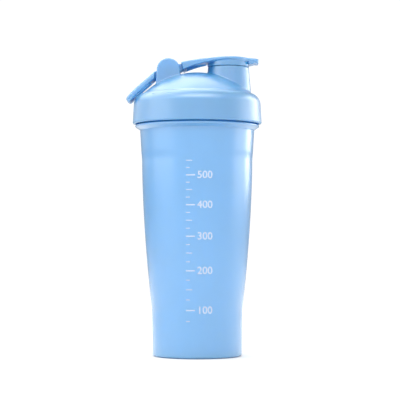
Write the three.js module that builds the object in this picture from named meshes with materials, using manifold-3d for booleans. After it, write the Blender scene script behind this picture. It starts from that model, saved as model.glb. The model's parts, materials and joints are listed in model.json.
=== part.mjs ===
// Shaker bottle: a tapered cup with a screw-on lid, a flip cap over the drinking
// spout, a carry loop on the same hinge, and a loose wire whisk ball in the cup.
// Millimetres, +Z up. The origin is the centre of the face the cup stands on,
// and +X runs from the hinge towards the spout.
import * as THREE from 'three';
import { mergeVertices } from 'three/addons/utils/BufferGeometryUtils.js';
import Module from 'manifold-3d';

const wasm = await Module();
wasm.setup();

// ---- Driving dimensions ----------------------------------------------------

const ROUND_STEPS = 40; // facets round the cup and the lid
const SPOUT_STEPS = 28; // facets round the spout and its plug
const PIN_STEPS = 20; // facets round the hinge pin and its holes
const GAP = 0.35; // clearance between neighbouring pieces
const WALL = 1.7; // moulded wall thickness of the cup

const CUP = {
  footRadius: 33.0,
  footTopRadius: 33.5,
  footHeight: 34.6,
  edgeRound: 1.6,
  swellTop: 146.6, // the tapered body ends here in a small outward step
  swellRadius: 40.9,
  swellPower: 1.75,
  stepRadius: 41.25,
  stepTop: 147.4,
  collarRootRadius: 42.3,
  collarRootHeight: 166.5,
  collarRadius: 45.9,
  collarTop: 170.9,
  neckRadius: 42.7,
  rimHeight: 189.2,
  floorTop: 3.0,
  recessDepth: 0.8,
  recessInner: 12.0,
  recessOuter: 28.5,
};

const THREAD = {
  lead: 6.0, // one start, right-handed
  rootWidth: 2.6,
  crestWidth: 1.2,
  cupCrest: 44.9,
  cupStart: 177.0,
  cupTurns: 1.35,
  lidCrest: 43.3,
  lidDrop: 2.15, // the lid's thread sits this far under the cup's thread
  lidTurns: 1.2,
  stepsPerTurn: 30,
  fade: 0.07, // share of the thread's length over which each end tapers away
};

const LID = {
  skirtBottom: 171.3,
  skirtRadius: 47.85,
  skirtMidRadius: 47.2,
  skirtMidHeight: 182.0,
  shoulderRadius: 46.75,
  shoulderHeight: 187.6,
  bandOuterRadius: 42.6,
  bandOuterHeight: 193.0,
  bandInnerRadius: 39.5,
  bandInnerHeight: 194.1,
  domeRadius: 59.1,
  domeTop: 209.6,
  domeWall: 2.1,
  skirtBore: 45.5,
  skirtBoreTop: 185.5,
  seatRadius: 44.0,
  seatHeight: 190.9,
  ribOuter: 39.05,
  ribInner: 37.4,
  ribBottom: 187.0,
};

const SPOUT = { x: 23.2, rimRadius: 15.2, rimHeight: 213.5, draft: 4.8, bore: 13.4 };

const PIVOT = { x: -21.2, z: 210.7 };

const EAR = { headRadius: 8.55, inner: 9.3, outer: 13.0, draft: 4.0, bottom: 192.0 };

const PIN = { radius: 1.8, holeRadius: 2.12, blindDepth: 2.4, farEnd: 12.9 };

const KNUCKLE = { radius: 4.5, capHalfWidth: 4.7, loopInner: 5.0, loopOuter: 8.95 };

const CAP = {
  apexX: 24.5,
  topHeight: 220.3,
  topArc: 172.0,
  underHeight: 218.1,
  underArc: 85.0,
  halfWidth: 12.5,
  plateRadius: 16.1,
  rootRadius: 10.8, // the arm stops on this radius round the pivot
  skin: 2.3,
  railWidth: 2.2,
  channelEnd: 6.5,
  ringOuter: 15.7,
  ringInner: 14.0,
  bossRadius: 6.0,
  bossBottom: 212.6,
  tabHalfWidth: 8.2,
  tabTip: 45.4,
  tabCorner: 4.0,
  tabTipHeight: 217.7,
  tabBottom: 215.2,
  tabInner: 37.8,
  tabToe: 41.0,
};

const LOOP = {
  slope: 41.0, // degrees below level, away from the hinge
  topOffset: 5.4, // the band's faces, measured square to the slope from the pivot
  underOffset: 0.5,
  bendAt: 31.0,
  bendSlope: 50.0,
  length: 37.0,
  halfWidth: 12.2,
  tipCorner: 8.5,
  earClear: -31.3,
  holeStart: 15.5,
  holeEnd: 31.0,
  holeHalfWidth: 8.0,
};

const BALL = { radius: 25.0, wireRadius: 1.2, pitch: 9.3, stepsPerTurn: 20, poleCut: 0.97 };

const SEAL = { bottom: 186.0, lipInner: 39.4, lipOuter: 40.6, outer: 43.6 };

const PLUG = { radius: 12.95, bottom: 209.6, chamfer: 1.3, bore: 6.35 };

// ---- Geometry helpers --------------------------------------------------------

// A closed geometry as a solid that can be joined and cut.
function solid(geometry) {
  const bare = new THREE.BufferGeometry();
  bare.setAttribute('position', geometry.getAttribute('position'));
  if (geometry.index) bare.setIndex(geometry.index);
  const merged = mergeVertices(bare, 1e-4);
  const index = merged.index.array;
  const triangles = [];
  for (let i = 0; i < index.length; i += 3) {
    const [a, b, c] = [index[i], index[i + 1], index[i + 2]];
    if (a !== b && b !== c && c !== a) triangles.push(a, b, c);
  }
  const vertices = new Float32Array(merged.getAttribute('position').array);
  if (signedVolume(vertices, triangles) < 0) triangles.reverse();
  return new wasm.Manifold(new wasm.Mesh({
    numProp: 3,
    vertProperties: vertices,
    triVerts: new Uint32Array(triangles),
  }));
}

function signedVolume(vertices, triangles) {
  const corner = (i) => new THREE.Vector3().fromArray(vertices, 3 * triangles[i]);
  let volume = 0;
  for (let i = 0; i < triangles.length; i += 3) {
    volume += corner(i).dot(corner(i + 1).cross(corner(i + 2))) / 6;
  }
  return volume;
}

// A solid turned back into a geometry for its mesh.
function surface(body) {
  const mesh = body.getMesh();
  const geometry = new THREE.BufferGeometry();
  geometry.setAttribute('position', new THREE.BufferAttribute(mesh.vertProperties, 3));
  geometry.setIndex(new THREE.BufferAttribute(mesh.triVerts, 1));
  geometry.computeVertexNormals();
  return geometry;
}

// Profile points are [radius, height]; the profile is turned round the Z axis.
function lathe(profile, steps) {
  const points = profile.map(([r, z]) => new THREE.Vector2(r, z));
  return solid(new THREE.LatheGeometry(points, steps).rotateX(Math.PI / 2));
}

// An outline in the XZ plane, pushed out along Y from yLow to yHigh.
function sideExtrude(shape, yLow, yHigh, curveSegments = 12) {
  const options = { depth: yHigh - yLow, bevelEnabled: false, curveSegments };
  const geometry = new THREE.ExtrudeGeometry(shape, options);
  return solid(geometry.rotateX(Math.PI / 2).translate(0, yHigh, 0));
}

// An outline in the XY plane, pushed up from zLow to zHigh.
function planExtrude(shape, zLow, zHigh, curveSegments = 12) {
  const options = { depth: zHigh - zLow, bevelEnabled: false, curveSegments };
  return solid(new THREE.ExtrudeGeometry(shape, options).translate(0, 0, zLow));
}

function block(xLow, xHigh, yLow, yHigh, zLow, zHigh) {
  const geometry = new THREE.BoxGeometry(xHigh - xLow, yHigh - yLow, zHigh - zLow);
  const centre = [(xLow + xHigh) / 2, (yLow + yHigh) / 2, (zLow + zHigh) / 2];
  return solid(geometry.translate(...centre));
}

// An upright cylinder or cone at [x, 0].
function upright(x, lowRadius, highRadius, zLow, zHigh, steps) {
  const geometry = new THREE.CylinderGeometry(highRadius, lowRadius, zHigh - zLow, steps);
  return solid(geometry.rotateX(Math.PI / 2).translate(x, 0, (zLow + zHigh) / 2));
}

// A cylinder on the hinge axis, from yLow to yHigh.
function onHinge(radius, yLow, yHigh, steps = PIN_STEPS) {
  const geometry = new THREE.CylinderGeometry(radius, radius, yHigh - yLow, steps);
  return solid(geometry.translate(PIVOT.x, (yLow + yHigh) / 2, PIVOT.z));
}

// Points on an arc, both ends included; angles in degrees.
function arc(cx, cz, radius, from, to, steps) {
  const points = [];
  for (let i = 0; i <= steps; i += 1) {
    const angle = THREE.MathUtils.degToRad(from + ((to - from) * i) / steps);
    points.push([cx + radius * Math.cos(angle), cz + radius * Math.sin(angle)]);
  }
  return points;
}

function outline(points) {
  return new THREE.Shape(points.map(([x, y]) => new THREE.Vector2(x, y)));
}

// Height of the ball-shaped dome whose top is at domeTop, at a distance from the axis.
function domeHeight(r, inset = 0) {
  const radius = LID.domeRadius - inset;
  return LID.domeTop - LID.domeRadius + Math.sqrt(radius * radius - r * r);
}

// A helical ridge: a straight bar of the thread's section, wound round the Z axis.
// It stands on rootRadius and reaches to crestRadius, outwards or inwards.
function thread(rootRadius, crestRadius, startHeight, turns) {
  const bury = 0.5 * Math.sign(rootRadius - crestRadius);
  const section = outline([
    [rootRadius + bury, -THREAD.rootWidth / 2],
    [crestRadius, -THREAD.crestWidth / 2],
    [crestRadius, THREAD.crestWidth / 2],
    [rootRadius + bury, THREAD.rootWidth / 2],
  ]);
  const steps = Math.round(turns * THREAD.stepsPerTurn);
  const bar = new THREE.ExtrudeGeometry(section, { depth: 1, steps, bevelEnabled: false });
  const position = bar.getAttribute('position');
  for (let i = 0; i < position.count; i += 1) {
    const along = position.getZ(i);
    const height = Math.min(1, along / THREAD.fade, (1 - along) / THREAD.fade);
    const root = rootRadius + 0.6 * bury;
    const reach = THREE.MathUtils.lerp(root, position.getX(i), Math.max(height, 0.05));
    const angle = 2 * Math.PI * turns * along;
    const rise = startHeight + THREAD.lead * turns * along + position.getY(i);
    position.setXYZ(i, reach * Math.cos(angle), reach * Math.sin(angle), rise);
  }
  return solid(bar);
}

// ---- Cup ---------------------------------------------------------------------

function bodyRadius(z) {
  const down = (CUP.swellTop - z) / (CUP.swellTop - CUP.footHeight);
  return CUP.swellRadius - (CUP.swellRadius - CUP.footTopRadius) * down ** CUP.swellPower;
}

function makeCup() {
  const { footRadius, edgeRound, collarRadius, neckRadius, rimHeight } = CUP;
  const swell = [];
  const swellSteps = 6;
  for (let i = 0; i <= swellSteps; i += 1) {
    const z = CUP.footHeight + ((CUP.swellTop - CUP.footHeight) * i) / swellSteps;
    swell.push([bodyRadius(z), z]);
  }
  const outside = [
    [0, 0],
    [CUP.recessInner, 0],
    [CUP.recessInner + 0.8, CUP.recessDepth],
    [CUP.recessOuter - 0.8, CUP.recessDepth],
    [CUP.recessOuter, 0],
    ...arc(footRadius - edgeRound, edgeRound, edgeRound, -90, 0, 2),
    ...swell,
    [CUP.stepRadius, CUP.stepTop],
    [CUP.collarRootRadius, CUP.collarRootHeight],
    [collarRadius - 0.8, CUP.collarRootHeight + 2.1],
    [collarRadius, CUP.collarRootHeight + 3.1],
    [collarRadius - 0.9, CUP.collarTop],
    [neckRadius, CUP.collarTop],
    [neckRadius, rimHeight - 0.5],
    [neckRadius - 0.5, rimHeight],
  ];
  const neckBore = neckRadius - WALL;
  const inside = [
    [neckBore + 0.5, rimHeight],
    [neckBore, rimHeight - 0.5],
    [neckBore, CUP.collarTop],
    [CUP.collarRootRadius - WALL, CUP.collarRootHeight - 2],
    [CUP.stepRadius - WALL, CUP.stepTop - 1],
    ...swell.slice(0, -1).reverse().map(([r, z]) => [r - WALL, z]),
    ...arc(footRadius - WALL - 3, CUP.floorTop + 3, 3, 0, -90, 2),
    [0, CUP.floorTop],
  ];
  const shell = lathe([...outside, ...inside], ROUND_STEPS);
  return shell.add(thread(neckRadius, THREAD.cupCrest, THREAD.cupStart, THREAD.cupTurns));
}

// ---- Lid ---------------------------------------------------------------------

function domeArc(inset, fromRadius, steps) {
  const points = [];
  for (let i = steps; i >= 0; i -= 1) {
    const r = (fromRadius * i) / steps;
    points.push([r, domeHeight(r, inset)]);
  }
  return points;
}

// The shoulder is a quarter of an ellipse from the skirt's top to the band round the dome.
function shoulder(steps) {
  const { shoulderRadius, shoulderHeight, bandOuterRadius, bandOuterHeight } = LID;
  const points = [];
  for (let i = 1; i <= steps; i += 1) {
    const angle = (Math.PI / 2) * (i / steps);
    points.push([
      bandOuterRadius + (shoulderRadius - bandOuterRadius) * Math.cos(angle),
      shoulderHeight + (bandOuterHeight - shoulderHeight) * Math.sin(angle),
    ]);
  }
  return points;
}

function lidOuter() {
  return [
    [0, LID.skirtBottom],
    [LID.skirtRadius - 0.5, LID.skirtBottom],
    [LID.skirtRadius, LID.skirtBottom + 0.5],
    [LID.skirtMidRadius, LID.skirtMidHeight],
    [LID.shoulderRadius, LID.shoulderHeight],
    ...shoulder(4),
    [LID.bandInnerRadius, LID.bandInnerHeight],
    ...domeArc(0, LID.bandInnerRadius, 7),
  ];
}

function lidCavity() {
  const below = LID.skirtBottom - 1;
  return [
    [0, below],
    [LID.skirtBore, below],
    [LID.skirtBore, LID.skirtBoreTop],
    [LID.seatRadius, LID.seatHeight - 2],
    [LID.seatRadius, LID.seatHeight],
    [LID.ribOuter, LID.seatHeight],
    [LID.ribOuter, LID.ribBottom],
    [LID.ribInner, LID.ribBottom],
    ...domeArc(LID.domeWall, LID.ribInner, 7),
  ];
}

function ear(yLow, yHigh) {
  const lean = THREE.MathUtils.degToRad(EAR.draft);
  const headAngle = THREE.MathUtils.radToDeg(lean);
  const drop = PIVOT.z - EAR.bottom;
  const spread = drop * Math.tan(lean) + EAR.headRadius / Math.cos(lean);
  const head = arc(PIVOT.x, PIVOT.z, EAR.headRadius, headAngle, 180 - headAngle, 14);
  const foot = [[PIVOT.x - spread, EAR.bottom], [PIVOT.x + spread, EAR.bottom]];
  return sideExtrude(outline([...head, ...foot]), yLow, yHigh);
}

function makeLid() {
  const spoutFoot = LID.bandInnerHeight;
  const flare = (SPOUT.rimHeight - spoutFoot) * Math.tan(THREE.MathUtils.degToRad(SPOUT.draft));
  const { x, rimRadius, rimHeight, bore } = SPOUT;
  const spout = upright(x, rimRadius + flare, rimRadius, spoutFoot, rimHeight, SPOUT_STEPS);
  const spoutBore = upright(x, bore, bore, LID.ribBottom, rimHeight + 1, SPOUT_STEPS);
  const pinHole = onHinge(PIN.holeRadius, -EAR.inner - PIN.blindDepth, EAR.outer + 1);
  const lidThread = thread(
    LID.skirtBore,
    THREAD.lidCrest,
    THREAD.cupStart - THREAD.lidDrop,
    THREAD.lidTurns,
  );
  return lathe(lidOuter(), ROUND_STEPS)
    .add(spout)
    .add(ear(EAR.inner, EAR.outer))
    .add(ear(-EAR.outer, -EAR.inner))
    .subtract(lathe(lidCavity(), ROUND_STEPS))
    .subtract(spoutBore)
    .subtract(pinHole)
    .add(lidThread);
}

// ---- Seals -------------------------------------------------------------------

// A gasket over the cup's rim, with a lip that reaches down inside the mouth.
function makeLidSeal() {
  const top = LID.seatHeight - GAP;
  const ledge = CUP.rimHeight + GAP;
  return lathe([
    [SEAL.lipInner, SEAL.bottom],
    [SEAL.lipOuter - 0.4, SEAL.bottom],
    [SEAL.lipOuter, SEAL.bottom + 0.6],
    [SEAL.lipOuter, ledge],
    [SEAL.outer, ledge],
    [SEAL.outer, top],
    [SEAL.lipInner, top],
    [SEAL.lipInner, SEAL.bottom],
  ], ROUND_STEPS);
}

// A soft plug on the flip cap's boss, which closes the spout's bore.
function makeSpoutSeal() {
  const top = capUnder(SPOUT.x + PLUG.radius) - GAP;
  return lathe([
    [0, PLUG.bottom],
    [PLUG.radius - PLUG.chamfer, PLUG.bottom],
    [PLUG.radius, PLUG.bottom + PLUG.chamfer],
    [PLUG.radius, top - 1],
    [PLUG.radius - 1, top],
    [PLUG.bore, top],
    [PLUG.bore, CAP.bossBottom - GAP],
    [0, CAP.bossBottom - GAP],
  ], SPOUT_STEPS).translate([SPOUT.x, 0, 0]);
}

// ---- Flip cap ------------------------------------------------------------------

// Both faces of the arm are long shallow arcs with their crowns over apexX.
function crown(x, height, radius) {
  return height - radius + Math.sqrt(radius * radius - (x - CAP.apexX) ** 2);
}

function capTop(x) {
  return crown(x, CAP.topHeight, CAP.topArc);
}

function capUnder(x) {
  return crown(x, CAP.underHeight, CAP.underArc);
}

function along(from, to, steps, height) {
  const points = [];
  for (let i = 0; i <= steps; i += 1) {
    const x = from + ((to - from) * i) / steps;
    points.push([x, height(x)]);
  }
  return points;
}

function capPlan() {
  const plan = new THREE.Shape();
  const meet = Math.asin(CAP.halfWidth / CAP.plateRadius);
  const tabMeet = Math.asin(CAP.tabHalfWidth / CAP.plateRadius);
  plan.moveTo(PIVOT.x, CAP.halfWidth);
  plan.lineTo(PIVOT.x, -CAP.halfWidth);
  plan.absarc(SPOUT.x, 0, CAP.plateRadius, Math.PI + meet, 2 * Math.PI - tabMeet, false);
  const [tip, half, corner] = [CAP.tabTip + 0.5, CAP.tabHalfWidth, CAP.tabCorner];
  plan.absarc(tip - corner, corner - half, corner, 1.5 * Math.PI, 2 * Math.PI, false);
  plan.absarc(tip - corner, half - corner, corner, 0, Math.PI / 2, false);
  plan.absarc(SPOUT.x, 0, CAP.plateRadius, tabMeet, Math.PI - meet, false);
  return plan;
}

function makeFlipCap() {
  const side = outline([
    ...along(PIVOT.x, CAP.tabTip - 1.5, 12, capTop),
    [CAP.tabTip, CAP.tabTipHeight + 0.6],
    [CAP.tabTip, CAP.tabTipHeight],
    [CAP.tabToe, CAP.tabBottom],
    [CAP.tabInner, CAP.tabBottom],
    [CAP.tabInner, capUnder(CAP.tabInner)],
    ...along(CAP.tabInner - 1, PIVOT.x, 10, capUnder),
  ]);
  const reach = CAP.plateRadius + 1;
  const plate = sideExtrude(side, -reach, reach)
    .intersect(planExtrude(capPlan(), 200, 225, 8))
    .subtract(onHinge(CAP.rootRadius, -reach, reach, 32));

  // The arm is a channel: a skin with a rail down each side.
  const start = PIVOT.x + CAP.rootRadius + 2.5;
  const channel = outline([
    ...along(start, CAP.channelEnd, 6, (x) => capTop(x) - CAP.skin),
    [CAP.channelEnd, 205],
    [start, 205],
  ]);
  const rail = CAP.halfWidth - CAP.railWidth;

  // A narrow neck joins the arm to the knuckle on the pin.
  const neckRoot = PIVOT.x + CAP.rootRadius + 1.5;
  const neck = outline([
    ...arc(PIVOT.x, PIVOT.z, KNUCKLE.radius, 115, 290, 14),
    [neckRoot, capUnder(neckRoot) + 0.2],
    [neckRoot, capTop(neckRoot) - 0.6],
  ]);

  const { x, rimRadius, rimHeight } = SPOUT;
  const ringTop = capUnder(x) + 0.6;
  const ringBottom = rimHeight + GAP;
  const ring = upright(x, CAP.ringOuter, CAP.ringOuter, ringBottom, ringTop, SPOUT_STEPS)
    .subtract(upright(x, CAP.ringInner, CAP.ringInner, ringBottom - 1, capUnder(x), SPOUT_STEPS));
  const boss = upright(x, CAP.bossRadius, CAP.bossRadius, CAP.bossBottom, ringTop, PIN_STEPS);
  const rimRoom = rimRadius + GAP;
  const overSpout = upright(x, rimRoom, rimRoom, 208, ringBottom, SPOUT_STEPS);

  return plate
    .subtract(sideExtrude(channel, -rail, rail))
    .add(sideExtrude(neck, -KNUCKLE.capHalfWidth, KNUCKLE.capHalfWidth))
    .add(ring)
    .subtract(overSpout)
    .add(boss)
    .subtract(onHinge(PIN.holeRadius, -10, 10));
}

// ---- Carry loop ----------------------------------------------------------------

// A point on the loop: how far along the slope, and how far square to it, from the pivot.
function loopPoint(distance, offset, slope = LOOP.slope, from = [0, 0]) {
  const angle = THREE.MathUtils.degToRad(slope);
  const [s, n] = [distance - from[0], offset - from[1]];
  const base = from[0] === 0 && from[1] === 0 ? [PIVOT.x, PIVOT.z] : loopPoint(...from);
  return [
    base[0] - s * Math.cos(angle) - n * Math.sin(angle),
    base[1] - s * Math.sin(angle) + n * Math.cos(angle),
  ];
}

// An outline laid on the loop's slope, [distance from the pivot, y], as a tall prism.
function alongSlope(shape) {
  return planExtrude(shape, -14, 14, 4)
    .rotate([0, 180 - LOOP.slope, 0])
    .translate([PIVOT.x, 0, PIVOT.z]);
}

function makeCarryLoop() {
  const { topOffset, underOffset, bendAt, bendSlope, length, halfWidth, tipCorner } = LOOP;
  const bend = (distance, offset) => loopPoint(distance, offset, bendSlope, [bendAt, underOffset]);
  const band = outline([
    loopPoint(0, topOffset),
    loopPoint(bendAt + 0.8, topOffset),
    bend(length - 0.5, topOffset),
    bend(length, topOffset - 0.5),
    bend(length, underOffset + 0.5),
    bend(length - 0.5, underOffset),
    loopPoint(bendAt, underOffset),
    loopPoint(0, underOffset),
  ]);
  const beyondEar = block(-70, LOOP.earClear, -halfWidth - 1, halfWidth + 1, 170, 225);
  const tip = new THREE.Shape();
  const tipX = length + 2;
  tip.moveTo(0, halfWidth);
  tip.lineTo(0, -halfWidth);
  tip.absarc(tipX - tipCorner, tipCorner - halfWidth, tipCorner, 1.5 * Math.PI, 2 * Math.PI, false);
  tip.absarc(tipX - tipCorner, halfWidth - tipCorner, tipCorner, 0, Math.PI / 2, false);
  const wide = sideExtrude(band, -halfWidth, halfWidth)
    .intersect(beyondEar)
    .intersect(alongSlope(tip));

  // Two legs reach from the band to eyes on the pin, either side of the cap's knuckle.
  const leg = outline([
    ...arc(PIVOT.x, PIVOT.z, KNUCKLE.radius, 78, -70, 14),
    ...arc(PIVOT.x, PIVOT.z, KNUCKLE.radius, -84, -127, 4),
    loopPoint(12, underOffset),
    loopPoint(14.5, underOffset + 0.1),
    loopPoint(14.5, topOffset - 0.1),
    loopPoint(8, topOffset - 0.1),
  ]);
  const legNear = sideExtrude(leg, -KNUCKLE.loopOuter, -KNUCKLE.loopInner);
  const legFar = sideExtrude(leg, KNUCKLE.loopInner, KNUCKLE.loopOuter);

  const hole = new THREE.Shape();
  const [near, far, half, corner] = [LOOP.holeStart, LOOP.holeEnd, LOOP.holeHalfWidth, 4];
  hole.absarc(near + corner, half - corner, corner, Math.PI / 2, Math.PI, false);
  hole.absarc(near + corner, corner - half, corner, Math.PI, 1.5 * Math.PI, false);
  hole.absarc(far - corner, corner - half, corner, 1.5 * Math.PI, 2 * Math.PI, false);
  hole.absarc(far - corner, half - corner, corner, 0, Math.PI / 2, false);

  // The underside is relieved where the loop lies on the lid's shoulder.
  const grown = lidOuter().map(([r, z]) => [r === 0 ? 0 : r + GAP, z + GAP]);
  const relief = lathe(grown, ROUND_STEPS);
  return wide
    .add(legNear)
    .add(legFar)
    .subtract(alongSlope(hole))
    .subtract(relief)
    .subtract(onHinge(PIN.holeRadius, -10, 10));
}

// ---- Whisk ball ----------------------------------------------------------------

// One wire wound into a ball, with its turns evenly spaced from bottom to top.
class BallWire extends THREE.Curve {
  getPoint(t, target = new THREE.Vector3()) {
    const radius = BALL.radius - BALL.wireRadius;
    const level = BALL.poleCut * (2 * t - 1);
    const turns = (2 * BALL.poleCut * radius) / BALL.pitch;
    const angle = 2 * Math.PI * turns * t;
    const out = radius * Math.sqrt(1 - level * level);
    const centre = CUP.floorTop + GAP + BALL.radius;
    return target.set(out * Math.cos(angle), out * Math.sin(angle), centre + radius * level);
  }
}

function makeWhiskBall() {
  const section = new THREE.Shape();
  section.absarc(0, 0, BALL.wireRadius, 0, 2 * Math.PI, false);
  const turns = (2 * BALL.poleCut * (BALL.radius - BALL.wireRadius)) / BALL.pitch;
  return solid(new THREE.ExtrudeGeometry(section, {
    extrudePath: new BallWire(),
    steps: Math.round(turns * BALL.stepsPerTurn),
    curveSegments: 3, // half of a six-sided section
    bevelEnabled: false,
  }));
}

// ---- Assembly --------------------------------------------------------------------

const FROSTED_BLUE = { color: 0x8fc4f5, roughness: 0.45, metalness: 0, transparent: true, opacity: 0.8 };
const LID_BLUE = { color: 0x9ccdf2, roughness: 0.55, metalness: 0 };
const CLEAR_SILICONE = { color: 0xdfe9f0, roughness: 0.4, metalness: 0 };
const POLISHED_STEEL = { color: 0xc8ccd0, roughness: 0.22, metalness: 1 };

function piece(name, body, finish) {
  const mesh = new THREE.Mesh(surface(body), new THREE.MeshStandardMaterial(finish));
  mesh.name = name;
  return mesh;
}

const bottle = new THREE.Group();
bottle.add(piece('cup', makeCup(), FROSTED_BLUE));
bottle.add(piece('lid', makeLid(), LID_BLUE));
bottle.add(piece('lid_seal', makeLidSeal(), CLEAR_SILICONE));
bottle.add(piece('flip_cap', makeFlipCap(), LID_BLUE));
bottle.add(piece('spout_seal', makeSpoutSeal(), CLEAR_SILICONE));
bottle.add(piece('carry_loop', makeCarryLoop(), LID_BLUE));
const pinStart = -EAR.inner - PIN.blindDepth + GAP;
bottle.add(piece('hinge_pin', onHinge(PIN.radius, pinStart, PIN.farEnd), POLISHED_STEEL));
bottle.add(piece('whisk_ball', makeWhiskBall(), POLISHED_STEEL));

export default bottle;
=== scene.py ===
"""Shaker bottle: the fine surfaces, materials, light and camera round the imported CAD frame."""
import json
import math

import bmesh
import bpy
import numpy as np
from mathutils import Matrix, Vector


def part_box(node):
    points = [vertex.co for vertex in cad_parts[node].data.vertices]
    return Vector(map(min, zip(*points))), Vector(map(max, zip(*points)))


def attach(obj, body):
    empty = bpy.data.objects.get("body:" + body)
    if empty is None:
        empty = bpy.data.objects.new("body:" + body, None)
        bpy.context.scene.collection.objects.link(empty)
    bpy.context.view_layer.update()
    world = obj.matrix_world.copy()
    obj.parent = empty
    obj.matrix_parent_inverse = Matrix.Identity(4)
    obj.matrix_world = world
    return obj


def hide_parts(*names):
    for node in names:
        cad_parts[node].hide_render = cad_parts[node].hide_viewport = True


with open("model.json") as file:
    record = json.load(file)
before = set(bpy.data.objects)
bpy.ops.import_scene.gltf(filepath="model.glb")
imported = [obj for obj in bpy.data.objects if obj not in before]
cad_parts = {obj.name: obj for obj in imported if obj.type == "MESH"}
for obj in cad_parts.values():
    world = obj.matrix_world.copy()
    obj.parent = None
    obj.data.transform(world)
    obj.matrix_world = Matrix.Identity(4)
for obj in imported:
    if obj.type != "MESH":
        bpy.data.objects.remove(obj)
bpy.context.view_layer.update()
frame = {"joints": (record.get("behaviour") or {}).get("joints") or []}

MM = 0.001
TAU = 2 * math.pi

# ---- Dimensions in millimetres, read from the frame or repeated from the CAD -----------
# The loop's faces and end and the ring under the cap differ a little, to follow the photo.


def box(node):
    low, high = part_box(node)
    return np.array(low) / MM, np.array(high) / MM


cup_high = box("cup")[1]
lid_low, lid_high = box("lid")
joints = {joint["name"]: joint for joint in frame["joints"]}
PIVOT_X, _, PIVOT_Z = (value / MM for value in joints["cap_flip"]["pos_m"])

RIM = cup_high[2]
COLLAR_RADIUS = cup_high[0]
NECK_RADIUS = 42.7
NECK_BORE = 41.0
WALL = 1.7
FOOT_RADIUS = 33.0
FOOT_TOP_RADIUS = 33.5
FOOT_HEIGHT = 34.6
SWELL_TOP = 146.6
SWELL_RADIUS = 40.9
SWELL_POWER = 1.75
STEP_RADIUS = 41.25
COLLAR_ROOT_RADIUS = 42.3
COLLAR_ROOT = 166.5
COLLAR_TOP = 170.9
BAND_LENGTH = COLLAR_ROOT - SWELL_TOP - 1.0
BLEND_BELOW = 3.4
BLEND_HEIGHT = 8.0
FLOOR_TOP = 3.0

LEAD = 6.0
THREAD_ROOT = 2.6
THREAD_CREST = 1.2
THREAD_FADE = 0.07
CUP_CREST = 44.9
CUP_THREAD_START = 177.0
CUP_TURNS = 1.35
LID_CREST = 43.3
LID_THREAD_START = CUP_THREAD_START - 2.15
LID_TURNS = 1.2

SKIRT_BOTTOM = lid_low[2]
SKIRT_RADIUS = lid_high[0]
SKIRT_LEAN = math.radians(3.3)
SKIRT_BORE = 45.5
TAPER_START = 185.5
TAPER_SLOPE = 0.44
SHOULDER_ROUND = 5.0
BAND_RADIUS = 39.5
BAND_HEIGHT = 194.15
BAND_SLOPE = math.radians(19.5)
DOME_RADIUS = 59.1
DOME_TOP = 209.6
DOME_WALL = 2.1
DOME_FOOT = 188.0
ROOT_LEVEL = 192.0
BORE_FOOT = 180.0
RIB_INNER = 37.4
RIB_OUTER = 39.05
RIB_BOTTOM = 187.0
SEAT_RADIUS = 44.0
SEAT_HEIGHT = 190.9

SPOUT_X = 23.2
SPOUT_RADIUS = 15.2
SPOUT_TOP = 213.5
SPOUT_LEAN = math.radians(4.8)
SPOUT_BORE = 13.4

EAR_RADIUS = lid_high[2] - PIVOT_Z
EAR_INNER = 9.3
EAR_OUTER = 13.0
EAR_LEAN = math.radians(4.0)
PIN_RADIUS = 1.8
PIN_HOLE = 2.12
BLIND_DEPTH = 2.4

CAP_APEX = 24.5
CAP_TOP = 220.3
CAP_TOP_ARC = 172.0
CAP_UNDER = 218.1
CAP_UNDER_ARC = 85.0
ARM_HALF = 12.5
PLATE_RADIUS = 16.1
ROOT_RADIUS = 10.8
SKIN = 2.3
RAIL = 2.2
CHANNEL_END = 6.5
RING_OUTER = 15.4
RING_INNER = 14.0
BOSS_RADIUS = 6.0
BOSS_BOTTOM = 212.6
TAB_HALF = 8.2
TAB_TIP = 45.4
TAB_TIP_HEIGHT = 217.7
TAB_BOTTOM = 215.2
TAB_INNER = 37.8
TAB_TOE = 41.0
KNUCKLE_RADIUS = 4.5
KNUCKLE_HALF = 4.7

LOOP_SLOPE = math.radians(41.0)
LOOP_BEND = math.radians(9.0)
LOOP_BEND_AT = 31.0
LOOP_TOP = 5.9
LOOP_UNDER = 1.7
LOOP_LENGTH = 37.6
LOOP_HALF = 12.2
LOOP_CORNER = 8.5
LEG_INNER = 5.0
LEG_OUTER = 8.95
EAR_CLEAR = -31.3
HOLE_START = 15.5
HOLE_END = 31.0
HOLE_HALF = 8.0

GAP = 0.35
BALL_RADIUS = 25.0
WIRE_RADIUS = 1.2
BALL_PITCH = 9.3
BALL_POLE = 0.97
LIP_BOTTOM = 186.0
LIP_INNER = 39.4
LIP_OUTER = 40.6
GASKET_OUTER = 43.6
PLUG_RADIUS = 12.95
PLUG_BOTTOM = 209.6
PLUG_BORE = 6.35

SCALE_LOW = 25.0
SCALE_HIGH = 144.0
SCALE_LEFT = -8.0
SCALE_WIDTH = 24
SCALE_BEND = 0.5
TICK_LONG = 6.5
TICK_MIDDLE = 4.5
TICK_SHORT = 2.8
TICK_BOLD = 0.45
TICK_FINE = 0.3
FIGURE_LEFT = 8.0
FIGURE_SIZE = 7.5
INK_DEPTH = 0.16

LID_CELL = 0.67
ARM_CELL = 0.42

# ---- Distance fields: negative inside, in millimetres ----------------------------


def join(a, b, r):
    """Union with a fillet of radius r."""
    return np.maximum(r, np.minimum(a, b)) - np.hypot(np.maximum(r - a, 0), np.maximum(r - b, 0))


def meet(a, b, r):
    """Intersection with its edge rounded to radius r."""
    return np.minimum(-r, np.maximum(a, b)) + np.hypot(np.maximum(r + a, 0), np.maximum(r + b, 0))


def cut(a, b, r):
    """a with b taken away, the edge rounded to radius r."""
    return meet(a, -b, r)


def ease(a, b, width):
    """The larger of two values that cross at a shallow angle, the crossing smoothed."""
    near = np.maximum(width - np.abs(a - b), 0) / width
    return np.maximum(a, b) + near * near * width / 4


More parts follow.
